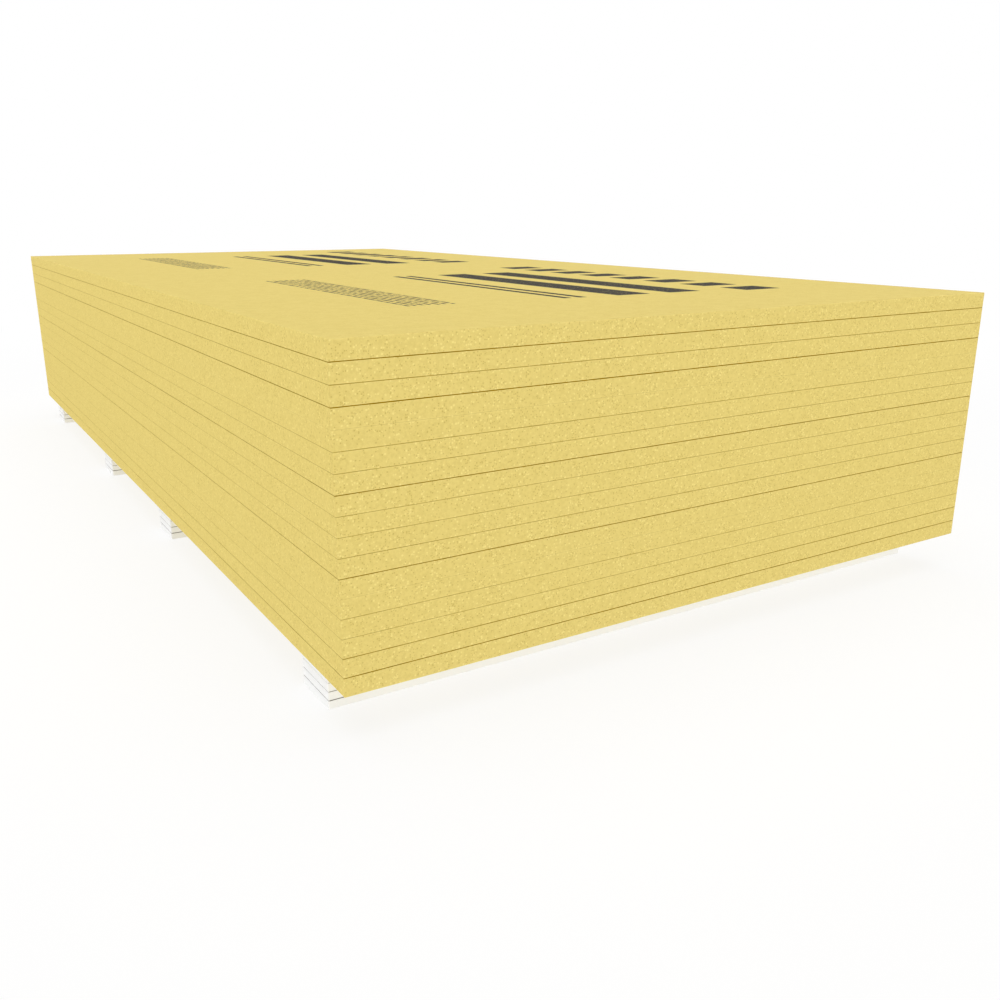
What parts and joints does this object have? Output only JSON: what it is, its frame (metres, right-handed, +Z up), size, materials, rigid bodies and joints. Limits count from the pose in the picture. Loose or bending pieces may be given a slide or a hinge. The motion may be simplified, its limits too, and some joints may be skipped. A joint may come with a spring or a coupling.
{
  "type": "drywall sheet stack",
  "caption": "Stack of flat, square-edged yellow gypsum boards lying flush on low spacers of white board strips, which leave gaps for lift forks.",
  "frame": {"origin": "centre of the stack's footprint, on the floor under the spacers", "axes": "+X across the sheets' width, +Y along their length, +Z up"},
  "size_m": [1.2192, 2.4384, 0.507],
  "materials": {
    "sheet_facing": "matt golden-yellow glass-mat facing with fine specks",
    "spacer_board": "matt white sawn gypsum board"
  },
  "bodies": {
    "root": {"sheet_01": "sheet_facing", "sheet_02": "sheet_facing", "sheet_03": "sheet_facing", "sheet_04": "sheet_facing", "sheet_05": "sheet_facing", "sheet_06": "sheet_facing", "sheet_07": "sheet_facing", "sheet_08": "sheet_facing", "sheet_09": "sheet_facing", "sheet_10": "sheet_facing", "sheet_11": "sheet_facing", "sheet_12": "sheet_facing", "sheet_13": "sheet_facing", "sheet_14": "sheet_facing", "sheet_15": "sheet_facing", "sheet_16": "sheet_facing", "sheet_17": "sheet_facing", "spacer_1_strip_1": "spacer_board", "spacer_1_strip_2": "spacer_board", "spacer_1_strip_3": "spacer_board", "spacer_1_strip_4": "spacer_board", "spacer_1_strip_5": "spacer_board", "spacer_2_strip_1": "spacer_board", "spacer_2_strip_2": "spacer_board", "spacer_2_strip_3": "spacer_board", "spacer_2_strip_4": "spacer_board", "spacer_2_strip_5": "spacer_board", "spacer_3_strip_1": "spacer_board", "spacer_3_strip_2": "spacer_board", "spacer_3_strip_3": "spacer_board", "spacer_3_strip_4": "spacer_board", "spacer_3_strip_5": "spacer_board", "spacer_4_strip_1": "spacer_board", "spacer_4_strip_2": "spacer_board", "spacer_4_strip_3": "spacer_board", "spacer_4_strip_4": "spacer_board", "spacer_4_strip_5": "spacer_board"}
  },
  "joints": []
}
